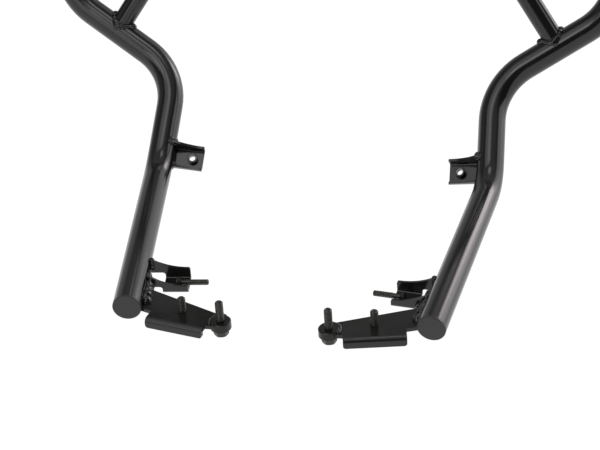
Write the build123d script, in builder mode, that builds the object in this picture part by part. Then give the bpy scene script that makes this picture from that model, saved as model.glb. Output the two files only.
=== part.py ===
import os
from math import asin, atan2, cos, degrees, hypot, radians, sin, sqrt

from build123d import *

# Motorcycle crash bars, a mirrored pair, in millimetres.
# X runs across the machine, Y forward and Z up. The origin lies midway between the two plate bolts,
# on the top faces of the lower plates. The right bar is modelled and the left one mirrored from it.

# Main tube: where its lower end starts, then each run's length, its heading from +Y towards +X and its climb
tube_dia = 28.6
tube_wall = 2.0
bend_radius = 65.0
tube_end_x = 150.0
tube_end_y = -5.0
tube_end_z = 3.0
lower_run = 240.0
lower_heading_angle = 7.1
lower_climb_angle = 4.8
middle_run = 111.0
middle_heading_angle = -3.2
middle_climb_angle = 42.8
outward_run = 153.0
outward_heading_angle = 76.8
outward_climb_angle = 30.9
upward_run = 98.0
upward_heading_angle = -26.5
upward_climb_angle = 78.0
top_run = 184.0
top_heading_angle = -90.0
top_climb_angle = 0.0

# Disc that closes the lower end
cap_thickness = 3.0
cap_round = 0.8

# Brace tube, from a place on the outward run to a place on the top run
brace_dia = 22.2
brace_wall = 2.0
brace_foot_at = 79.5
brace_head_inset = 40.0

# Lower plate with its folded lip
plate_thickness = 4.0
plate_root_near = 12.0
plate_root_far = 48.5
plate_bolt_x = 95.0
lip_x = 128.0
lip_back = 12.5
lip_length = 61.0
lip_angle = 11.7
lip_depth = 10.0
lip_bend = 1.0
lip_corner = 3.0
notch_inner = 3.7
notch_outer = 9.5

# Turned ring at the narrow end of the plate
boss_x = 53.2
boss_back = 14.5
boss_dia = 20.8
boss_height = 9.0
boss_rise = 2.8
boss_chamfer = 0.8

# M8 bolts of the plate and the ring
bolt_dia = 8.0
bolt_grip_dia = 7.2
bolt_bore = 8.4
bolt_head_flats = 13.0
bolt_head_height = 5.3
bolt_chamfer = 1.0
plate_bolt_length = 20.0
end_bolt_length = 32.0
bolt_thread_gap = 0.5
washer_dia = 16.0
washer_thickness = 1.6

# Folded channels that carry the fork bolt and the spacer
sheet = 2.5
channel_width = 26.0
channel_fold = 1.5
channel_height = 16.0
wall_corner = 2.0

fork_at = 59.7
fork_depth = 20.0
fork_reach = 53.7
fork_rear_end = -6.2
fork_rear_root = 5.0
fork_front_end = -10.9
fork_front_root = 3.0
fork_slot_end = 28.0
fork_slot_top = -11.5
fork_slot_corner = 3.0
fork_bolt_inset = 8.0

small_bolt_dia = 6.0
small_bolt_grip_dia = 5.4
small_bolt_flats = 10.0
small_bolt_head = 4.0
small_bolt_length = 28.0
small_bolt_chamfer = 0.8
small_bolt_lift = 0.1
small_bolt_side_gap = 0.5

middle_at = 255.0
middle_tilt_angle = 10.0
middle_depth = 11.0
middle_reach = 45.5
middle_rear_end = 1.0
middle_rear_root = 11.5
middle_front_end = -3.4
middle_front_root = -0.5
spacer_dia = 11.5
spacer_bore = 7.0
spacer_height = 6.0
spacer_out = 33.6

# Tab with a bolt hole, welded to the disc that closes the upper end
upper_tab_thickness = 6.0
upper_tab_width = 27.0
upper_tab_reach = 28.0
upper_tab_bore = 10.5
upper_tab_bead_inset = 4.0

# Welds: the root gap at each joint and the sizes of the beads
root_gap = 0.1
bead_radius = 4.0
bead_end_round = 3.0
plate_bead_radius = 5.5
plate_bead_round = 4.0
plate_bead_past = 2.5
tab_bead_radius = 3.0
tab_bead_round = 2.2
middle_bead_radius = 2.4
middle_bead_round = 1.8
middle_bead_drop = 4.0
brace_bead_size = 3.2
brace_bead_round = 2.4
stud_bead_radius = 4.2
stud_bead_rise = 2.0
stud_bead_round = 2.0
stud_bead_end = 1.0
boss_bead_radius = 2.2
boss_bead_round = 1.6
boss_bead_start_angle = -30.0
boss_bead_turn_angle = 138.0

os.makedirs("parts", exist_ok=True)


def direction(heading, climb):
    level = cos(radians(climb))
    return Vector(level * sin(radians(heading)), level * cos(radians(heading)), sin(radians(climb)))


# Centre line of the main tube
tube_radius = tube_dia / 2
tube_end = Vector(tube_end_x, tube_end_y, tube_end_z)
lower_way = direction(lower_heading_angle, lower_climb_angle)
first_bend = tube_end + lower_way * lower_run
middle_way = direction(middle_heading_angle, middle_climb_angle)
second_bend = first_bend + middle_way * middle_run
outward_way = direction(outward_heading_angle, outward_climb_angle)
outer_bend = second_bend + outward_way * outward_run
top_bend = outer_bend + direction(upward_heading_angle, upward_climb_angle) * upward_run
top_way = direction(top_heading_angle, top_climb_angle)
upper_end = top_bend + top_way * top_run

with BuildLine() as centre_line:
    FilletPolyline(tube_end, first_bend, second_bend, outer_bend, top_bend, upper_end, radius=bend_radius)
tube_path = centre_line.wire()
tube_section = Plane(origin=tube_end, z_dir=lower_way)

with BuildPart() as main_tube:
    with BuildSketch(tube_section):
        Circle(tube_radius)
        Circle(tube_radius - tube_wall, mode=Mode.SUBTRACT)
    sweep(path=tube_path)
    with BuildSketch(tube_section):
        Circle(tube_dia)
    extrude(amount=cap_thickness, mode=Mode.SUBTRACT)

# Full round of the capped tube with the root gap, which trims whatever is welded to its side
with BuildPart() as tube_envelope:
    with BuildSketch(tube_section):
        Circle(tube_radius + root_gap)
    sweep(path=tube_path)

with BuildPart() as end_cap:
    with BuildSketch(tube_section):
        Circle(tube_radius)
    extrude(amount=cap_thickness)
    fillet(end_cap.edges().sort_by(Axis(tube_end, lower_way))[0], cap_round)

# Brace tube, coped to the main tube at both ends
brace_foot = second_bend + outward_way * brace_foot_at
brace_head = upper_end - top_way * brace_head_inset
brace_way = (brace_head - brace_foot).normalized()
brace_length = (brace_head - brace_foot).length
brace_section = Plane(origin=brace_foot, z_dir=brace_way)

with BuildPart() as brace_tube:
    with BuildSketch(brace_section):
        Circle(brace_dia / 2)
        Circle(brace_dia / 2 - brace_wall, mode=Mode.SUBTRACT)
    extrude(amount=brace_length)
    add(tube_envelope.part, mode=Mode.SUBTRACT)

# Lower plate: a tapered outline from the tube to the ring, with a lip folded down along its front
boss_centre = Vector(boss_x, -boss_back)
boss_radius = boss_dia / 2
far_root = tube_end + lower_way * plate_root_far
near_root = tube_end + lower_way * plate_root_near
lip_way = Vector(-cos(radians(lip_angle)), -sin(radians(lip_angle)))
lip_back_way = Vector(-sin(radians(lip_angle)), cos(radians(lip_angle)))
lip_outer = Vector(lip_x, -lip_back)
lip_outer_bend = lip_bend + plate_thickness
lip_inner = lip_outer + lip_way * lip_length
inner_notch = lip_inner + lip_back_way * notch_inner
outer_notch = lip_outer + lip_back_way * notch_outer

# Where the plate's far edge touches the ring
to_boss = boss_centre - Vector(far_root.X, far_root.Y)
taper = atan2(to_boss.Y, to_boss.X) - asin(boss_radius / hypot(to_boss.X, to_boss.Y))
far_touch = boss_centre + Vector(sin(taper), -cos(taper)) * boss_radius

with BuildPart() as lower_plate:
    with BuildSketch(Plane.XY.offset(-plate_thickness)):
        with BuildLine():
            Polyline(
                (far_root.X, far_root.Y),
                (far_touch.X, far_touch.Y),
                (boss_centre.X, boss_centre.Y),
                (boss_centre.X, inner_notch.Y),
                (inner_notch.X, inner_notch.Y),
                (lip_inner.X, lip_inner.Y),
                (lip_outer.X, lip_outer.Y),
                (outer_notch.X, outer_notch.Y),
                (near_root.X, near_root.Y),
                close=True,
            )
        make_face()
        with Locations((boss_x, -boss_back)):
            Circle(boss_radius + root_gap, mode=Mode.SUBTRACT)
        with Locations((plate_bolt_x, 0)):
            Circle(bolt_bore / 2, mode=Mode.SUBTRACT)
    extrude(amount=plate_thickness)
    with BuildSketch(Plane(origin=lip_outer, x_dir=-lip_back_way, z_dir=lip_way)):
        with BuildLine():
            CenterArc((0, -lip_outer_bend), lip_outer_bend, 0, 90)
            Polyline(
                (lip_outer_bend, -lip_outer_bend),
                (lip_outer_bend, -lip_depth),
                (lip_bend, -lip_depth),
                (lip_bend, -lip_outer_bend),
            )
            CenterArc((0, -lip_outer_bend), lip_bend, 0, 90)
            Line((0, -plate_thickness), (0, 0))
        make_face()
    extrude(amount=lip_length)
    lip_ends = lower_plate.edges().filter_by(Axis(lip_outer, lip_back_way)).group_by(Axis.Z)[0]
    fillet(lip_ends, lip_corner)
    add(tube_envelope.part, mode=Mode.SUBTRACT)

boss_top = Plane.XY.offset(boss_rise)
with BuildPart() as end_boss:
    with BuildSketch(boss_top):
        with Locations((boss_x, -boss_back)):
            Circle(boss_radius)
            Circle(bolt_bore / 2, mode=Mode.SUBTRACT)
    extrude(amount=-boss_height)
    rims = end_boss.edges().filter_by(GeomType.CIRCLE).group_by(SortBy.RADIUS)[-1]
    chamfer(rims, boss_chamfer)


def hexagon_bolt(seat, grip, grip_dia, thread_dia, length, flats, head_height, tip_chamfer):
    # The head lies behind the seat plane. A plain grip and then the thread stand in front of it
    with BuildPart() as bolt:
        with BuildSketch(seat):
            RegularPolygon(flats / 2, 6, major_radius=False)
        extrude(amount=-head_height)
        # A shallow cone takes the corners off the outer end of the head
        with BuildSketch(seat.offset(-head_height)):
            Circle(flats / 2)
        extrude(amount=head_height + flats, taper=-60, mode=Mode.INTERSECT)
        with BuildSketch(seat):
            Circle(grip_dia / 2)
        extrude(amount=grip)
        with BuildSketch(seat.offset(grip)):
            Circle(thread_dia / 2)
        extrude(amount=length - grip)
        chamfer(bolt.edges().sort_by(Axis(seat.origin, seat.z_dir))[-1], tip_chamfer)
    return bolt.part


def flat_washer(seat, outer_dia, bore, thickness):
    with BuildPart() as washer:
        with BuildSketch(seat):
            Circle(outer_dia / 2)
            Circle(bore / 2, mode=Mode.SUBTRACT)
        extrude(amount=-thickness)
    return washer.part


plate_underside = Plane(origin=(plate_bolt_x, 0, -plate_thickness))
plate_bolt = hexagon_bolt(
    plate_underside,
    plate_thickness + bolt_thread_gap,
    bolt_grip_dia,
    bolt_dia,
    plate_bolt_length,
    bolt_head_flats,
    bolt_head_height,
    bolt_chamfer,
)
boss_underside = Plane(origin=(boss_x, -boss_back, boss_rise - boss_height))
end_washer = flat_washer(boss_underside, washer_dia, bolt_bore, washer_thickness)
end_bolt = hexagon_bolt(
    boss_underside.offset(-washer_thickness),
    washer_thickness + boss_height + bolt_thread_gap,
    bolt_grip_dia,
    bolt_dia,
    end_bolt_length,
    bolt_head_flats,
    bolt_head_height,
    bolt_chamfer,
)


def bracket_frame(distance, forward, tilt):
    # Inward, backward and upward axes at a place on the tube, measured from its lower end
    centre = tube_path.position_at(distance, position_mode=PositionMode.LENGTH)
    level = Vector(0, 0, 1).cross(forward).normalized()
    inward = level.rotate(Axis((0, 0, 0), forward), -tilt)
    return Plane(origin=centre, x_dir=inward, z_dir=forward.cross(inward))


def folded_channel(frame, depth, reach, rear_end, rear_root, front_end, front_root):
    # Channel across the tube: its web lies below the tube's axis and its two walls rise along the tube's side
    forward = -frame.y_dir
    section = Plane(origin=frame.origin, x_dir=-forward, z_dir=frame.x_dir)
    side = Plane(origin=frame.origin, x_dir=frame.x_dir, z_dir=forward)
    half = channel_width / 2
    with BuildPart() as channel:
        with BuildSketch(section):
            with BuildLine():
                outside = FilletPolyline(
                    (-half, channel_height),
                    (-half, -depth),
                    (half, -depth),
                    (half, channel_height),
                    radius=channel_fold + sheet,
                )
                offset(outside, amount=sheet, side=Side.LEFT)
            make_face()
        extrude(amount=reach)
        # Each wall is low and rounded at its free end and sweeps up to the tube
        for end, root, way in ((rear_end, rear_root, 1), (front_end, front_root, -1)):
            with BuildSketch(side):
                with BuildLine():
                    corner = TangentArc((reach, end - wall_corner), (reach - wall_corner, end), tangent=(0, 1))
                    sweep_up = TangentArc(corner @ 1, (tube_radius, root), tangent=(-1, 0))
                    Polyline(
                        sweep_up @ 1,
                        (0, root),
                        (0, channel_height),
                        (reach, channel_height),
                        corner @ 0,
                    )
                make_face()
            extrude(amount=way * half, mode=Mode.SUBTRACT)
        add(tube_envelope.part, mode=Mode.SUBTRACT)
    return channel.part


# Fork bracket: the web is slotted next to the tube, so two arms reach it. Its other end is open
fork_frame = bracket_frame(fork_at, lower_way, 0)
fork_side = Plane(origin=fork_frame.origin, x_dir=fork_frame.x_dir, z_dir=-fork_frame.y_dir)
fork_channel = folded_channel(
    fork_frame, fork_depth, fork_reach, fork_rear_end, fork_rear_root, fork_front_end, fork_front_root
)
fork_web_face = sheet - fork_depth
with BuildPart() as fork_bracket:
    add(fork_channel)
    with BuildSketch(fork_side):
        slot_height = fork_depth + fork_slot_top
        with Locations((0, fork_slot_top)):
            Rectangle(fork_slot_end, slot_height, align=(Align.MIN, Align.MAX))
    slot = extrude(amount=channel_width, both=True, mode=Mode.PRIVATE)
    corner = slot.edges().filter_by(Axis(fork_frame.origin, fork_frame.y_dir))
    corner = corner.sort_by(Axis(fork_frame.origin, fork_frame.x_dir + fork_frame.z_dir))[-1]
    add(slot.fillet(fork_slot_corner, [corner]), mode=Mode.SUBTRACT)

# A bolt lies on the web, welded down behind its head, and its thread stands out of the open end
fork_bolt_height = fork_web_face + small_bolt_lift + small_bolt_flats / 2
fork_bolt_side = channel_width / 2 - sheet - small_bolt_side_gap - small_bolt_flats / sqrt(3)
fork_bolt_seat = fork_reach - fork_bolt_inset
fork_seat = Plane(
    origin=fork_frame.from_local_coords(Vector(fork_bolt_seat, fork_bolt_side, fork_bolt_height)),
    x_dir=fork_frame.y_dir,
    z_dir=fork_frame.x_dir,
)
fork_bolt = hexagon_bolt(
    fork_seat,
    fork_bolt_inset + bolt_thread_gap,
    small_bolt_grip_dia,
    small_bolt_dia,
    small_bolt_length,
    small_bolt_flats,
    small_bolt_head,
    small_bolt_chamfer,
)

# Middle bracket: the same channel beside the first bend, with a bored spacer on its web
middle_frame = bracket_frame(middle_at, middle_way, middle_tilt_angle)
middle_channel = folded_channel(
    middle_frame,
    middle_depth,
    middle_reach,
    middle_rear_end,
    middle_rear_root,
    middle_front_end,
    middle_front_root,
)
middle_web_face = sheet - middle_depth
spacer_seat = Plane(
    origin=middle_frame.from_local_coords(Vector(spacer_out, 0, middle_web_face)),
    x_dir=middle_frame.x_dir,
    z_dir=middle_frame.z_dir,
)
with BuildPart() as middle_bracket:
    add(middle_channel)
    with BuildSketch(spacer_seat):
        Circle(spacer_bore / 2)
    extrude(amount=-sheet, mode=Mode.SUBTRACT)

with BuildPart() as bracket_spacer:
    with BuildSketch(spacer_seat):
        Circle(spacer_dia / 2)
        Circle(spacer_bore / 2, mode=Mode.SUBTRACT)
    extrude(amount=spacer_height)

# Upper end: a closing disc, and a round-ended tab that stands on it with one bolt hole
upper_face = Plane(origin=upper_end, z_dir=top_way)
with BuildPart() as upper_cap:
    with BuildSketch(upper_face):
        Circle(tube_radius)
    extrude(amount=cap_thickness)
    fillet(upper_cap.edges().sort_by(Axis(upper_end, top_way))[-1], cap_round)

upper_tab_root = upper_end + top_way * cap_thickness
upper_tab_side = Vector(0, 0, 1).cross(top_way).normalized()
with BuildPart() as upper_tab:
    with BuildSketch(Plane(origin=upper_tab_root, x_dir=top_way, z_dir=upper_tab_side)):
        Rectangle(upper_tab_reach, upper_tab_width, align=(Align.MIN, Align.CENTER))
        with Locations((upper_tab_reach, 0)):
            Circle(upper_tab_width / 2)
            Circle(upper_tab_bore / 2, mode=Mode.SUBTRACT)
    extrude(amount=upper_tab_thickness / 2, both=True)


def side_of_tube(distance, height):
    # Point on the inner side of the lower run at a height above the plate's top face
    centre = tube_end + lower_way * distance
    inward = Vector(0, 0, 1).cross(lower_way).normalized()
    return Vector(centre.X, centre.Y, height) + inward * sqrt(tube_radius**2 - (centre.Z - height) ** 2)


def plate_bead(start, end, thickness, thickness_way, radius, end_round):
    # Bead that wraps the edge of a plate from one face to the other
    with BuildPart() as bead:
        with BuildSketch(Plane(origin=start, x_dir=thickness_way, z_dir=end - start)):
            SlotCenterToCenter(thickness, 2 * radius)
        extrude(amount=(end - start).length)
        fillet(bead.faces().filter_by(GeomType.PLANE).edges(), end_round)
    return bead.part


def round_bead(plane, arc_radius, start_angle, arc_size, radius, end_round):
    with BuildPart() as bead:
        with BuildLine(plane):
            arc = CenterArc((0, 0), arc_radius, start_angle, arc_size)
        with BuildSketch(Plane(origin=arc @ 0, z_dir=arc % 0)):
            Circle(radius)
        sweep(path=arc)
        fillet(bead.faces().filter_by(GeomType.PLANE).edges(), end_round)
    return bead.part


def wall_beads(frame, low, rear_root, front_root, radius, end_round):
    # One bead along the tube for each wall of a channel
    beads = []
    wall_middle = (channel_width - sheet) / 2
    for root, way in ((rear_root, 1), (front_root, -1)):
        low_angle = degrees(asin(low / tube_radius))
        root_angle = degrees(asin(root / tube_radius))
        centre = frame.origin - frame.y_dir * way * wall_middle
        plane = Plane(origin=centre, x_dir=frame.x_dir, z_dir=-frame.y_dir)
        turn = root_angle - low_angle
        beads.append(round_bead(plane, tube_radius, low_angle, turn, radius, end_round))
    return beads


# Round both ends of the brace, a rounded ring close to its own side and to the main tube's
with BuildPart() as grown_tube:
    with BuildSketch(tube_section):
        Circle(tube_radius + brace_bead_size)
    sweep(path=tube_path)

with BuildPart() as brace_collar:
    with BuildSketch(brace_section):
        Circle(brace_dia / 2 + brace_bead_size)
    extrude(amount=brace_length)
    add(grown_tube.part, mode=Mode.INTERSECT)
    shoulders = brace_collar.edges().filter_by(GeomType.BSPLINE)
    fillet(shoulders, brace_bead_round)
    with BuildSketch(brace_section):
        Circle(brace_dia / 2)
    extrude(amount=brace_length, mode=Mode.SUBTRACT)

# Bead on both sides of the fork bolt's shank, between it and the web
stud_bead_centre = Vector(fork_bolt_seat, fork_bolt_side, fork_web_face + stud_bead_rise)
with BuildPart() as stud_bead:
    with BuildSketch(
        Plane(
            origin=fork_frame.from_local_coords(stud_bead_centre),
            x_dir=fork_frame.y_dir,
            z_dir=fork_frame.x_dir,
        )
    ):
        Circle(stud_bead_radius)
    extrude(amount=fork_bolt_inset - stud_bead_end)
    free_end = stud_bead.faces().sort_by(Axis(fork_frame.origin, fork_frame.x_dir))[-1]
    fillet(free_end.edges(), stud_bead_round)


def trimmed(bead, neighbours):
    with BuildPart() as rest:
        add(bead)
        for neighbour in neighbours:
            add(neighbour, mode=Mode.SUBTRACT)
    return rest.part


beads = wall_beads(
    fork_frame, fork_slot_top, fork_rear_root, fork_front_root, bead_radius, bead_end_round
)
beads += wall_beads(
    middle_frame,
    -middle_depth,
    middle_rear_root - middle_bead_drop,
    middle_front_root - middle_bead_drop,
    middle_bead_radius,
    middle_bead_round,
)
plate_middle = -plate_thickness / 2
upper_tab_half = upper_tab_side.cross(top_way) * (upper_tab_width / 2 - upper_tab_bead_inset)
beads += [
    plate_bead(
        side_of_tube(plate_root_near, plate_middle),
        side_of_tube(plate_root_far + plate_bead_past, plate_middle),
        plate_thickness,
        (0, 0, 1),
        plate_bead_radius,
        plate_bead_round,
    ),
    plate_bead(
        upper_tab_root - upper_tab_half,
        upper_tab_root + upper_tab_half,
        upper_tab_thickness,
        upper_tab_side,
        tab_bead_radius,
        tab_bead_round,
    ),
    stud_bead.part,
    brace_collar.part,
    round_bead(
        Plane(origin=boss_centre),
        boss_radius,
        boss_bead_start_angle,
        boss_bead_turn_angle,
        boss_bead_radius,
        boss_bead_round,
    ),
]
joined = [
    tube_envelope.part,
    lower_plate.part,
    end_boss.part,
    fork_bracket.part,
    fork_bolt,
    middle_bracket.part,
    upper_cap.part,
    upper_tab.part,
]
with BuildPart() as weld_beads:
    for place, bead in enumerate(beads):
        add(trimmed(bead, joined + beads[:place]))

pieces = {
    "main_tube": main_tube.part,
    "end_cap": end_cap.part,
    "brace_tube": brace_tube.part,
    "lower_plate": lower_plate.part,
    "end_boss": end_boss.part,
    "end_bolt": end_bolt,
    "end_washer": end_washer,
    "plate_bolt": plate_bolt,
    "fork_bracket": fork_bracket.part,
    "fork_bolt": fork_bolt,
    "middle_bracket": middle_bracket.part,
    "bracket_spacer": bracket_spacer.part,
    "upper_cap": upper_cap.part,
    "upper_tab": upper_tab.part,
    "weld_beads": weld_beads.part,
}

for piece_name, piece in pieces.items():
    with BuildPart() as right:
        add(piece)
    right.part.label = f"right_{piece_name}"
    export_step(right.part, f"parts/right_{piece_name}.step")
    with BuildPart() as left:
        mirror(piece, about=Plane.YZ)
    left.part.label = f"left_{piece_name}"
    export_step(left.part, f"parts/left_{piece_name}.step")
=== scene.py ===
import math
import bpy
import bmesh
from mathutils import Matrix, Vector, noise


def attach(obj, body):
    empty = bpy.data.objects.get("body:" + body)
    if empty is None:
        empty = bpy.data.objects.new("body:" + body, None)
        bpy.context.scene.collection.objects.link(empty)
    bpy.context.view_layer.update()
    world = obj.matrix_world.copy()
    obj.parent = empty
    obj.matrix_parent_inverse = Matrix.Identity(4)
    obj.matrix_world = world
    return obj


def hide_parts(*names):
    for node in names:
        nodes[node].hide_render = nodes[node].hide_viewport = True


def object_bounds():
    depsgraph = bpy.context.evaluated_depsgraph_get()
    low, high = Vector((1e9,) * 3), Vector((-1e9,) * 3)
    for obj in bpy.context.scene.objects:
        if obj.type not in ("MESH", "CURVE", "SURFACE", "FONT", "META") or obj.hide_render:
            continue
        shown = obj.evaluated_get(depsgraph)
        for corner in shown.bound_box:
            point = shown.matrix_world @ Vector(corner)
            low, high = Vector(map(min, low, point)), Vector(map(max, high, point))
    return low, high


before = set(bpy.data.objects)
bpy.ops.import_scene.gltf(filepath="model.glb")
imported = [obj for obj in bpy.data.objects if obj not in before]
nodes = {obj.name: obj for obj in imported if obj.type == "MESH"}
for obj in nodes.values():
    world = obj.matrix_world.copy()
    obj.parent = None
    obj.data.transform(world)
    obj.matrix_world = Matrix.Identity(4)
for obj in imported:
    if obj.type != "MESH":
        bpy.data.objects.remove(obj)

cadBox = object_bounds()
sides = {"right": 1, "left": -1}  # sizes are given for the right bar, and the left one mirrors it in X
mm = 0.001
mmPerMetre = 1000
fullTurn = 2 * math.pi
print("frame loaded with", len(nodes), "solids")


def hexColour(code):
    # sRGB hex to the linear values that the shader works in
    parts = [int(code[i:i + 2], 16) / 255 for i in (1, 3, 5)]
    return [p / 12.92 if p <= 0.04045 else ((p + 0.055) / 1.055) ** 2.4 for p in parts] + [1.0]


def addNode(tree, kind, inputs=None, **settings):
    node = tree.nodes.new(kind)
    for name, value in settings.items():
        setattr(node, name, value)
    for name, value in (inputs or {}).items():
        if isinstance(value, bpy.types.NodeSocket):
            tree.links.new(value, node.inputs[name])
        else:
            node.inputs[name].default_value = value
    return node


# A colour mix repeats its socket names for each kind of data, so its sockets go by number
mixShare, mixFrom, mixTo, mixResult = 0, 6, 7, 2
usualNoise = (0.3, 0.7)  # where most values of a noise texture lie


def startMaterial(name):
    material = bpy.data.materials.new(name)
    material.use_nodes = True
    tree = material.node_tree
    tree.nodes.clear()
    return material, tree, addNode(tree, "ShaderNodeTexCoord").outputs["Object"]


def closeMaterial(tree, look, colour, patches, relief):
    # The gloss varies with the same patches as the colour
    gloss = addNode(tree, "ShaderNodeMapRange", {
        "Value": patches, "From Min": usualNoise[0], "From Max": usualNoise[1],
        "To Min": look["roughness"][0], "To Max": look["roughness"][1]})
    shader = addNode(tree, "ShaderNodeBsdfPrincipled", {
        "Base Color": colour, "Roughness": gloss.outputs["Result"],
        "Normal": relief, "IOR": look["ior"]})
    addNode(tree, "ShaderNodeOutputMaterial", {"Surface": shader.outputs["BSDF"]})


# Black powder coat over steel: the same baked resin on tube, plate, cap, ring and weld.
# The eye gets a near-black body, a clear reflection of the lamps, a faint orange peel
# and soft smears where the part was handled. The copies differ in deep and pale tone
# to match how bright each part shows under the lamps: painted light and shade, with the
# plate and cap copies painted lighter.
coatLooks = {
    "powderCoatOnTube": {
        "deep": "#0b0b0c", "pale": "#151516", "roughness": (0.13, 0.20), "ior": 1.5,
        "peelMm": 3.4, "peelDepthMm": 0.010, "smearMm": 46, "speckMm": 1.7, "speck": "#262628",
    },
    "powderCoatOnPlate": {
        "deep": "#161615", "pale": "#222221", "roughness": (0.10, 0.18), "ior": 1.45,
        "peelMm": 2.2, "peelDepthMm": 0.008, "smearMm": 24, "speckMm": 1.4, "speck": "#2c2c2b",
    },
    "powderCoatOnCap": {
        "deep": "#1a1a1a", "pale": "#212121", "roughness": (0.36, 0.48), "ior": 1.5,
        "peelMm": 1.2, "peelDepthMm": 0.010, "smearMm": 18, "speckMm": 1.4, "speck": "#3c3c3c",
    },
    "powderCoatOnBoss": {
        "deep": "#0b0b0a", "pale": "#151513", "roughness": (0.20, 0.34), "ior": 1.4,
        "peelMm": 1.6, "peelDepthMm": 0.03, "smearMm": 7, "speckMm": 1.2, "speck": "#2e2d29",
    },
    "powderCoatOnWeld": {
        "deep": "#0d0d0e", "pale": "#1b1b1c", "roughness": (0.06, 0.16), "ior": 1.5,
        "peelMm": 1.8, "peelDepthMm": 0.02, "smearMm": 9, "speckMm": 1.0, "speck": "#303032",
    },
}
dust = {"shows": (0.70, 0.80), "most": 0.6}  # only the peaks of the noise show as specks


def makeCoat(name, look):
    material, tree, place = startMaterial(name)
    smear = addNode(tree, "ShaderNodeTexNoise", {
        "Vector": place, "Scale": mmPerMetre / look["smearMm"], "Detail": 4.0, "Roughness": 0.6})
    body = addNode(tree, "ShaderNodeMix", {
        mixShare: smear.outputs["Fac"], mixFrom: hexColour(look["deep"]),
        mixTo: hexColour(look["pale"])}, data_type="RGBA")
    speck = addNode(tree, "ShaderNodeTexNoise", {
        "Vector": place, "Scale": mmPerMetre / look["speckMm"], "Detail": 1.0})
    speckMask = addNode(tree, "ShaderNodeMapRange", {
        "Value": speck.outputs["Fac"], "From Min": dust["shows"][0], "From Max": dust["shows"][1],
        "To Min": 0.0, "To Max": dust["most"]})
    dusted = addNode(tree, "ShaderNodeMix", {
        mixShare: speckMask.outputs["Result"], mixFrom: body.outputs[mixResult],
        mixTo: hexColour(look["speck"])}, data_type="RGBA")
    peel = addNode(tree, "ShaderNodeTexNoise", {
        "Vector": place, "Scale": mmPerMetre / look["peelMm"], "Detail": 2.0})
    bump = addNode(tree, "ShaderNodeBump", {
        "Height": peel.outputs["Fac"], "Strength": 1.0, "Distance": look["peelDepthMm"] * mm})
    closeMaterial(tree, look, dusted.outputs[mixResult], smear.outputs["Fac"], bump.outputs["Normal"])
    return material


# Phosphated bolt steel: a dull crystalline layer grown on the steel, oiled, rubbed paler on
# the thread crests, and that paler colour on the crests and worn edges is also a painted highlight.
# The eye gets a speckled brown-black with a weak sheen, no mirror. The true
# crystals are far under 0.1 mm, so the speckle is drawn as coarse as it needs to show.
boltLook = {
    "valley": "#070706", "crest": "#393731", "roughness": (0.22, 0.44), "ior": 1.45,
    "grainMm": 0.7, "grainDepthMm": 0.03, "grainStrength": 0.6,
    # the pointiness span sets the crest colour, which is wear and also a painted highlight
    "crestWearAndHighlight": (0.48, 0.56), "crestWearAndHighlightMost": 0.6,  # pointiness from flat to a worn edge
    "stainMm": 2.0, "stained": (0.44, 0.60), "stainedMost": 0.8,
}


def makePhosphatedSteel(name, look):
    material, tree, place = startMaterial(name)
    stain = addNode(tree, "ShaderNodeTexNoise", {
        "Vector": place, "Scale": mmPerMetre / look["stainMm"], "Detail": 5.0, "Roughness": 0.65})
    grain = addNode(tree, "ShaderNodeTexNoise", {
        "Vector": place, "Scale": mmPerMetre / look["grainMm"], "Detail": 2.0})
    edges = addNode(tree, "ShaderNodeNewGeometry").outputs["Pointiness"]
    # Pointy crests and edges get the paler crest colour: partly wear, partly a painted highlight
    wearAndHighlight = addNode(tree, "ShaderNodeMapRange", {
        "Value": edges, "From Min": look["crestWearAndHighlight"][0], "From Max": look["crestWearAndHighlight"][1],
        "To Min": 0.0, "To Max": look["crestWearAndHighlightMost"]})
    patch = addNode(tree, "ShaderNodeMapRange", {
        "Value": stain.outputs["Fac"], "From Min": look["stained"][0], "From Max": look["stained"][1],
        "To Min": 0.0, "To Max": look["stainedMost"]})
    mask = addNode(tree, "ShaderNodeMath", {
        0: wearAndHighlight.outputs["Result"], 1: patch.outputs["Result"]}, operation="ADD", use_clamp=True)
    tint = addNode(tree, "ShaderNodeMix", {
        mixShare: mask.outputs["Value"], mixFrom: hexColour(look["valley"]),
        mixTo: hexColour(look["crest"])}, data_type="RGBA")
    bump = addNode(tree, "ShaderNodeBump", {
        "Height": grain.outputs["Fac"], "Strength": look["grainStrength"],
        "Distance": look["grainDepthMm"] * mm})
    closeMaterial(tree, look, tint.outputs[mixResult], stain.outputs["Fac"], bump.outputs["Normal"])
    return material


materials = {name: makeCoat(name, look) for name, look in coatLooks.items()}
materials["phosphatedBoltSteel"] = makePhosphatedSteel("phosphatedBoltSteel", boltLook)
print("materials made")

# Solids that stay as they are; bolts, spacers and welds are made anew further down
finishes = {
    "main_tube": "powderCoatOnTube", "brace_tube": "powderCoatOnTube",
    "end_cap": "powderCoatOnCap", "upper_cap": "powderCoatOnCap",
    "lower_plate": "powderCoatOnPlate", "upper_tab": "powderCoatOnPlate",
    "fork_bracket": "powderCoatOnPlate", "middle_bracket": "powderCoatOnPlate",
    "end_boss": "powderCoatOnBoss", "end_washer": "phosphatedBoltSteel",
}
for side in sides:
    for piece, finish in finishes.items():
        mesh = nodes[f"{side}_{piece}"].data
        mesh.materials.clear()
        mesh.materials.append(materials[finish])
print("solids coated")


def mirrored(side, point):
    return Vector((point[0] * sides[side], point[1], point[2]))


def acrossAxes(axis):
    acrossX = axis.orthogonal().normalized()
    return acrossX, axis.cross(acrossX)


def nodeSpan(node, axis):
    # Lowest point of a solid's centre line along an axis, and its length there in millimetres
    along = [v.co.dot(axis) for v in node.data.vertices]
    middle = Vector((0, 0, 0))
    for across in acrossAxes(axis):
        spread = [v.co.dot(across) for v in node.data.vertices]
        middle += across * (min(spread) + max(spread)) / 2
    return middle + axis * min(along), (max(along) - min(along)) / mm


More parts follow.
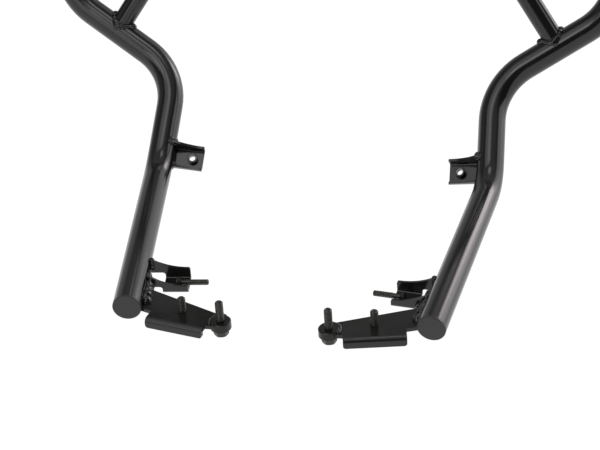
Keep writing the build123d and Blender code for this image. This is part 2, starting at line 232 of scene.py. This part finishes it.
def ringMesh(name, low, axis, rows, closed):
    # Skin over rings whose points are radius, angle and height. A closed profile ends on its
    # first ring, and an open one gets a face over its first ring and then one over its last.
    acrossX, acrossY = acrossAxes(axis)
    verts = []
    for row in rows:
        for radius, angle, height in row:
            outward = acrossX * math.cos(angle) + acrossY * math.sin(angle)
            verts.append(low + (axis * height + outward * radius) * mm)
    around, count = len(rows[0]), len(verts)
    faces = []
    for r in range(len(rows) if closed else len(rows) - 1):
        for k in range(around):
            a, b = r * around + k, r * around + (k + 1) % around
            faces.append((a, b, (b + around) % count, (a + around) % count))
    if not closed:
        faces.append(tuple(reversed(range(around))))
        faces.append(tuple(range(count - around, count)))
    mesh = bpy.data.meshes.new(name)
    mesh.from_pydata(verts, [], faces)
    return mesh


def addPiece(name, mesh, finishNames, replacedNode, sharpDegrees):
    for finish in finishNames:
        mesh.materials.append(materials[finish])
    mesh.shade_smooth()
    mesh.set_sharp_from_angle(angle=math.radians(sharpDegrees))
    piece = bpy.data.objects.new(name, mesh)
    bpy.context.scene.collection.objects.link(piece)
    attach(piece, "root")
    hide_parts(replacedNode)


# Hexagon bolts with a rolled thread: head below its seat, plain grip, then the helix.
# The true pitches, 1.25 and 1 mm, are too fine to show, so the helix is drawn coarser.
forkBoltLine = (-0.99232, 0.12366, 0)
boltSizes = {
    "end_bolt": {
        "grip": 11.1, "gripRadius": 3.6, "radius": 4.0, "pitch": 1.9, "threadDepth": 0.42,
        "flats": 13, "head": 5.3, "tip": 1.1, "dish": 1.3, "axis": (0, 0, 1),
        "headFinish": "phosphatedBoltSteel",
    },
    "plate_bolt": {
        "grip": 4.5, "gripRadius": 3.6, "radius": 4.0, "pitch": 1.9, "threadDepth": 0.42,
        "flats": 13, "head": 5.3, "tip": 1.1, "dish": 1.3, "axis": (0, 0, 1),
        "headFinish": "phosphatedBoltSteel",
    },
    "fork_bolt": {
        "grip": 8.5, "gripRadius": 2.7, "radius": 3.0, "pitch": 1.6, "threadDepth": 0.28,
        "flats": 10, "head": 4.0, "tip": 0.8, "dish": 0.9, "axis": forkBoltLine,
        "headFinish": "powderCoatOnBoss",  # welded in, then coated with the bracket
    },
}
boltShape = {
    "around": 48, "ringsPerPitch": 10, "sharpDegrees": 28,
    "crownShare": 0.96, "crownChamfer": 30,  # the round crown within the flats, and its slope in degrees
    "veeSlope": 3.2,  # narrow grooves between broad crests
    "dishRings": ((0.88, 0.10), (0.70, 0.55), (0.35, 0.9)),  # shares of the rim and of the depth
}


def threadRadius(size, turn, height, length):
    # Flat-topped vee thread, run out at its start and cut by the chamfer at the tip
    phase = (height / size["pitch"] - turn) % 1.0
    vee = max(0.0, 1 - boltShape["veeSlope"] * min(phase, 1 - phase))
    depth = size["threadDepth"] * vee * min(1.0, height / size["pitch"])
    chamfered = size["radius"] - size["tip"] + (length - height)
    return min(size["radius"] - depth, chamfered)


def makeBolt(side, kind):
    size = boltSizes[kind]
    axis = mirrored(side, size["axis"]).normalized()
    low, length = nodeSpan(nodes[f"{side}_{kind}"], axis)
    around = boltShape["around"]
    angles = [fullTurn * k / around for k in range(around)]
    flat = fullTurn / 6
    half = size["flats"] / 2
    crown = half * boltShape["crownShare"]
    slope = math.tan(math.radians(boltShape["crownChamfer"]))
    hexagon = [(half / math.cos((angle + flat / 2) % flat - flat / 2), angle) for angle in angles]
    rows = [[(crown, angle, 0.0) for angle in angles],
            [(reach, angle, (reach - crown) * slope) for reach, angle in hexagon],
            [(reach, angle, size["head"]) for reach, angle in hexagon]]
    headFaces = len(rows) * around  # chamfer, flats and bearing face
    threadStart = size["head"] + size["grip"]
    for height in (size["head"], threadStart):
        rows.append([(size["gripRadius"], angle, height) for angle in angles])
    threadLength = length - size["head"] - size["grip"]
    steps = int(threadLength / size["pitch"] * boltShape["ringsPerPitch"])
    for step in range(steps + 1):
        height = threadLength * step / steps
        rows.append([(threadRadius(size, k / around, height, threadLength), angle, threadStart + height)
                     for k, angle in enumerate(angles)])
    # Rolling the thread leaves the tip dished
    rim = size["radius"] - size["tip"]
    for share, sunk in boltShape["dishRings"]:
        rows.append([(rim * share, angle, length - size["dish"] * sunk) for angle in angles])
    name = f"{side}_{kind}_threaded"
    mesh = ringMesh(name, low, axis, rows, closed=False)
    crownFace = len(mesh.polygons) - 2
    for face in mesh.polygons:
        face.material_index = 1 if face.index < headFaces or face.index == crownFace else 0
    addPiece(name, mesh, ["phosphatedBoltSteel", size["headFinish"]], f"{side}_{kind}",
             boltShape["sharpDegrees"])


for side in sides:
    for kind in boltSizes:
        makeBolt(side, kind)
print("bolts threaded")

# Turned spacer on the middle bracket: broken edges, and a bore that was masked from the coat
spacerSize = {
    "radius": 5.75, "bore": 3.5, "edge": 0.5, "edgeBelly": 0.35, "boreEdge": 0.4,
    "axis": (-0.1364, -0.6778, 0.7225), "around": 64, "sharpDegrees": 20,
}


def makeSpacer(side):
    axis = mirrored(side, spacerSize["axis"]).normalized()
    low, high = nodeSpan(nodes[f"{side}_bracket_spacer"], axis)
    outer, bore = spacerSize["radius"], spacerSize["bore"]
    edge, boreEdge = spacerSize["edge"], spacerSize["boreEdge"]
    belly = edge * spacerSize["edgeBelly"]
    profile = [(bore, 0), (outer, 0), (outer, high - edge), (outer - belly, high - belly),
               (outer - edge, high), (bore + boreEdge, high), (bore, high - boreEdge)]
    around = spacerSize["around"]
    rows = [[(radius, fullTurn * k / around, height) for k in range(around)] for radius, height in profile]
    name = f"{side}_spacer_turned"
    mesh = ringMesh(name, low, axis, rows, closed=True)
    firstInBore = (len(profile) - 1) * around
    for face in mesh.polygons:
        face.material_index = 1 if face.index >= firstInBore else 0
    addPiece(name, mesh, ["powderCoatOnPlate", "phosphatedBoltSteel"],
             f"{side}_bracket_spacer", spacerSize["sharpDegrees"])


for side in sides:
    makeSpacer(side)
print("spacers turned")

# Weld beads: a puddle laid down in overlapping ripples, lumpy where the welder started and stopped
weldShape = {
    "voxel": 0.6, "wet": 4, "stopDetail": 3, "sharpDegrees": 180,
    "ripple": 2.6, "wobble": 7.0, "lump": 5.5, "lumpShift": (3.1, 0, 0),  # lumps apart from the wobble
}

# How each seam runs on the right bar, in millimetres: a box that holds it, the line it follows or
# turns about, and how far its metal stands proud, ripples and bulges
lowRun, braceLine = (0.1231, 0.9889, 0.0837), (-0.555, 0.1975, 0.8085)
forkMiddle = (157.35, 54.03, 8.0)
seams = {
    "plate": {
        "box": ((120, 0, -20), (160, 40, 30)), "follows": lowRun,
        "proud": 0.8, "rippled": 0.8, "lumpy": 1.6},
    "forkFront": {
        "box": ((120, 40, -20), (165, 58, 30)), "about": forkMiddle, "axis": lowRun, "reach": 15,
        "proud": 0.5, "rippled": 0.4, "lumpy": 1.2},
    "forkRear": {
        "box": ((120, 58, -20), (165, 90, 30)), "about": forkMiddle, "axis": lowRun, "reach": 15,
        "proud": -0.7, "rippled": 0.5, "lumpy": 1.4},
    "forkBolt": {
        "box": ((100, 48, -14), (116, 66, -2)), "follows": forkBoltLine,
        "proud": 0.2, "rippled": 0.3, "lumpy": 0.6},
    "middleBracket": {
        "box": ((150, 225, 0), (200, 275, 70)), "about": (178.8, 244.44, 34.72),
        "axis": (-0.041, 0.733, 0.679), "reach": 15, "proud": 0.5, "rippled": 0.3, "lumpy": 0.8},
    "endRing": {
        "box": ((30, -40, -20), (80, 20, 20)), "about": (53.2, -14.5, 0), "axis": (0, 0, 1),
        "reach": 11, "proud": 0.4, "rippled": 0.35, "lumpy": 0.7},
    "braceFoot": {
        "box": ((210, 300, 120), (260, 350, 170)), "about": (241.43, 329.22, 139.33),
        "axis": braceLine, "reach": 12, "proud": -0.7, "rippled": 0.3, "lumpy": 0.9},
    "braceTop": {
        "box": ((130, 330, 240), (190, 390, 290)), "about": (157.0, 359.2, 262.3),
        "axis": braceLine, "reach": 12, "proud": 0.2, "rippled": 0.4, "lumpy": 0.8},
    "upperTab": {
        "box": ((90, 340, 250), (120, 380, 300)), "follows": (0, 0, 1),
        "proud": 0.2, "rippled": 0.3, "lumpy": 0.6},
}

# Extra metal at starts and stops: middle and radius in millimetres, as on the right bar. The
# seams were laid by hand, so each bar also has some of its own.
weldStops = {
    "both": [
        ((243.3, 332.6, 155.8), 5.4), ((223.7, 327.9, 144.2), 5.2),
        ((135.4, 12.5, 0.2), 4.4), ((137.0, 21.5, 0.8), 4.6), ((138.8, 30.5, 0.4), 4.4),
        ((140.4, 39.0, 1.0), 4.4),
        ((141.9, 45.6, 8.0), 3.4), ((142.6, 69.2, 9.6), 2.2), ((144.2, 67.6, 2.5), 3.4),
        ((166.0, 257.0, 43.4), 3.3), ((164.6, 251.8, 47.0), 2.8), ((165.8, 250.0, 49.0), 2.8),
        ((167.4, 248.2, 50.8), 2.6), ((168.6, 246.0, 50.0), 2.4), ((166.6, 246.0, 46.8), 1.8),
        ((167.6, 243.5, 20.0), 2.6),
    ],
    "right": [
        ((137.6, 41.6, -2.2), 4.0), ((133.8, 43.4, -4.0), 3.0), ((130.4, 43.6, -5.0), 2.6),
    ],
    "left": [
        ((139.0, 41.4, -2.0), 3.6), ((145.0, 67.4, 8.8), 2.6),
        ((165.2, 238.0, 24.4), 2.3), ((166.4, 239.2, 22.6), 2.4), ((164.4, 239.4, 26.4), 1.6),
    ],
}


def seamPlace(seam, point):
    # Distance along the seam that a point on the right bar lies at
    if "follows" in seam:
        return point.dot(Vector(seam["follows"]))
    axis = Vector(seam["axis"]).normalized()
    arm = point - Vector(seam["about"])
    arm -= axis * arm.dot(axis)
    acrossX, acrossY = acrossAxes(axis)
    return math.atan2(arm.dot(acrossY), arm.dot(acrossX)) * seam["reach"]


def weldRise(point):
    # How far the weld metal stands out at a point on the right bar
    for seam in seams.values():
        low, high = seam["box"]
        if all(low[i] <= point[i] <= high[i] for i in range(3)):
            wobble = noise.noise(point / weldShape["wobble"])
            phase = (seamPlace(seam, point) / weldShape["ripple"] + wobble) % 1.0
            ripple = math.sqrt(max(0.0, math.sin(math.pi * phase))) * seam["rippled"]
            lumpPlace = point / weldShape["lump"] + Vector(weldShape["lumpShift"])
            lump = noise.noise(lumpPlace) * seam["lumpy"]
            return seam["proud"] + ripple + max(lump, -abs(seam["proud"]))
    return 0.0


def makeWeld(side):
    puddle = bmesh.new()
    puddle.from_mesh(nodes[f"{side}_weld_beads"].data)
    for middle, radius in weldStops["both"] + weldStops[side]:
        spot = Matrix.Translation(mirrored(side, middle) * mm)
        bmesh.ops.create_icosphere(
            puddle, subdivisions=weldShape["stopDetail"], radius=radius * mm, matrix=spot)
    mesh = bpy.data.meshes.new("weldBlank")
    puddle.to_mesh(mesh)
    puddle.free()
    blank = bpy.data.objects.new("weldBlank", mesh)
    bpy.context.scene.collection.objects.link(blank)
    remesh = blank.modifiers.new("puddle", "REMESH")
    remesh.mode = "VOXEL"
    remesh.voxel_size = weldShape["voxel"] * mm
    smooth = blank.modifiers.new("wet", "SMOOTH")
    smooth.iterations = weldShape["wet"]
    bpy.context.view_layer.update()
    run = blank.evaluated_get(bpy.context.evaluated_depsgraph_get())
    shaped = bpy.data.meshes.new_from_object(run)
    bpy.data.objects.remove(blank)
    name = f"{side}_weld_rippled"
    shaped.name = name
    shaped.materials.clear()
    moved = []
    for vertex in shaped.vertices:
        onRight = mirrored(side, vertex.co) / mm
        moved.append(vertex.co + vertex.normal * weldRise(onRight) * mm)
    for vertex, place in zip(shaped.vertices, moved):
        vertex.co = place
    addPiece(name, shaped, ["powderCoatOnWeld"], f"{side}_weld_beads",
             weldShape["sharpDegrees"])


for side in sides:
    makeWeld(side)
print("welds rippled")

# Light table of opal acrylic, a cast sheet lit from below. The eye gets an even white that stays
# white under the part.
tableLook = {"colour": "#2c2c2c", "glowColour": "#ffffff", "glow": 1.0, "roughness": 0.6,
             "size": 60.0, "gapMm": 1.0}
reach = tableLook["size"] / 2
floorLevel = cadBox[0][2] - tableLook["gapMm"] * mm
corners = [(-reach, -reach), (reach, -reach), (reach, reach), (-reach, reach)]
floorMesh = bpy.data.meshes.new("lightTable")
floorMesh.from_pydata([(x, y, floorLevel) for x, y in corners], [], [(0, 1, 2, 3)])
floor = bpy.data.objects.new("lightTable", floorMesh)
bpy.context.scene.collection.objects.link(floor)
acrylic = bpy.data.materials.new("opalAcrylic")
acrylic.use_nodes = True
acrylicShader = acrylic.node_tree.nodes["Principled BSDF"]
acrylicShader.inputs["Base Color"].default_value = hexColour(tableLook["colour"])
acrylicShader.inputs["Roughness"].default_value = tableLook["roughness"]
acrylicShader.inputs["Emission Color"].default_value = hexColour(tableLook["glowColour"])
acrylicShader.inputs["Emission Strength"].default_value = tableLook["glow"]
floorMesh.materials.append(acrylic)
print("light table laid")

# Soft boxes. Each is given by where it stands round the part, how far away in metres, how wide
# and tall it looks from there in degrees, and how bright its face is.
aim = Vector((0, 0.19, 0.10))
softBoxes = {
    "keyBox": {"azimuth": 43, "elevation": 23, "away": 2.4, "wide": 12, "tall": 22,
               "face": 3.0, "colour": "#fff4fa"},
    "keySkirt": {"azimuth": 44, "elevation": 22, "away": 2.4, "wide": 24, "tall": 34,
                 "face": 1.0, "colour": "#fff4fa"},
    "sidePanel": {"azimuth": 70, "elevation": 15, "away": 2.4, "wide": 66, "tall": 38,
                  "face": 1.35, "colour": "#fffafd"},
    "frontPanel": {"azimuth": 25, "elevation": 14, "away": 2.4, "wide": 24, "tall": 48,
                   "face": 0.6, "colour": "#fbfbff"},
    "overheadBox": {"azimuth": -168, "elevation": 66, "away": 1.45, "wide": 19, "tall": 17,
                    "face": 0.8, "colour": "#ffffff"},
    "overheadSkirt": {"azimuth": -150, "elevation": 58, "away": 1.45, "wide": 50, "tall": 32,
                      "face": 0.75, "colour": "#ffffff"},
    "lowPanel": {"azimuth": -151, "elevation": 20, "away": 1.27, "wide": 28, "tall": 32,
                 "face": 1.25, "colour": "#fbfcff"},
    "highPanel": {"azimuth": -158, "elevation": 41, "away": 2.85, "wide": 17, "tall": 15,
                  "face": 1.9, "colour": "#ffffff"},
    "topPanel": {"azimuth": 85, "elevation": 80, "away": 1.27, "wide": 16, "tall": 18,
                 "face": 1.9, "colour": "#ffffff"},
    "hairStrip": {"azimuth": 14, "elevation": 44, "away": 2.4, "wide": 22, "tall": 5,
                  "face": 0.9, "colour": "#ffffff"},
}
powerPerFace = 4  # an area lamp's face is as bright as its power over four times its area
for name, box in softBoxes.items():
    azimuth, elevation = math.radians(box["azimuth"]), math.radians(box["elevation"])
    way = Vector((math.sin(azimuth) * math.cos(elevation), math.cos(azimuth) * math.cos(elevation),
                  math.sin(elevation)))
    lamp = bpy.data.lights.new(name, "AREA")
    lamp.shape = "RECTANGLE"
    lamp.size = 2 * box["away"] * math.tan(math.radians(box["wide"] / 2))
    lamp.size_y = 2 * box["away"] * math.tan(math.radians(box["tall"] / 2))
    lamp.energy = powerPerFace * lamp.size * lamp.size_y * box["face"]
    lamp.color = hexColour(box["colour"])[:3]
    stand = bpy.data.objects.new(name, lamp)
    stand.location = aim + way * box["away"]
    stand.rotation_euler = way.to_track_quat("Z", "Y").to_euler()
    stand.visible_camera = False
    bpy.context.scene.collection.objects.link(stand)

# Room round the table: a pale wall beyond the part and on its left, which fades towards its top,
# a grey ceiling, and dark behind the photographer. Each changes its light over a span of the
# direction's X, Y or Z.
room = {
    "leftWall": {"along": "X", "span": (-0.5, -0.9), "light": (0.0, 0.28)},
    "farWall": {"along": "Y", "span": (0.0, 0.7), "light": (0.0, 0.5)},
    "wallTop": {"along": "Z", "span": (0.42, 0.62), "light": (1.0, 0.25)},
    "ceiling": {"along": "Z", "span": (0.55, 0.85), "light": (0.07, 0.47)},
}
world = bpy.data.worlds.new("studioRoom")
bpy.context.scene.world = world
world.use_nodes = True
tree = world.node_tree
tree.nodes.clear()
facing = addNode(tree, "ShaderNodeTexCoord").outputs["Generated"]
split = addNode(tree, "ShaderNodeSeparateXYZ", {"Vector": facing})
shade = {}
for name, part in room.items():
    fade = addNode(tree, "ShaderNodeMapRange", {
        "Value": split.outputs[part["along"]],
        "From Min": part["span"][0], "From Max": part["span"][1],
        "To Min": part["light"][0], "To Max": part["light"][1]}, interpolation_type="SMOOTHSTEP")
    shade[name] = fade.outputs["Result"]
walls = addNode(tree, "ShaderNodeMath", {
    0: shade["leftWall"], 1: shade["farWall"]}, operation="MAXIMUM")
light = addNode(tree, "ShaderNodeMath", {
    0: walls.outputs["Value"], 1: shade["wallTop"], 2: shade["ceiling"]}, operation="MULTIPLY_ADD")
sky = addNode(tree, "ShaderNodeBackground", {
    "Color": (1, 1, 1, 1), "Strength": light.outputs["Value"]})
addNode(tree, "ShaderNodeOutputWorld", {"Surface": sky.outputs["Background"]})
print("lamps set")

# Camera at the photograph's view: place in millimetres, turns in degrees, and the focal length in
# pixels of a frame 600 wide
viewpoint = {"place": (354.927, -1380.726, 981.715), "yaw": -13.31052, "pitch": 31.64316,
             "roll": -3.73678, "focal": 1790.065, "frameWidth": 600, "sensor": 36.0, "clipEnd": 50}
turned = (Matrix.Rotation(math.radians(viewpoint["roll"]), 3, "Z")
          @ Matrix.Rotation(math.radians(viewpoint["pitch"]), 3, "X")
          @ Matrix(((1, 0, 0), (0, 0, -1), (0, 1, 0)))
          @ Matrix.Rotation(math.radians(viewpoint["yaw"]), 3, "Z"))
lens = bpy.data.cameras.new("photoCamera")
lens.sensor_fit = "HORIZONTAL"
lens.sensor_width = viewpoint["sensor"]
lens.lens = viewpoint["focal"] / viewpoint["frameWidth"] * viewpoint["sensor"]
lens.clip_end = viewpoint["clipEnd"]
camera = bpy.data.objects.new("photoCamera", lens)
axes = Matrix((turned[0], -turned[1], -turned[2])).transposed().to_4x4()
camera.matrix_world = Matrix.Translation(Vector(viewpoint["place"]) * mm) @ axes
bpy.context.scene.collection.objects.link(camera)
bpy.context.scene.camera = camera
bpy.context.scene.view_settings.view_transform = "Standard"
print("camera set")
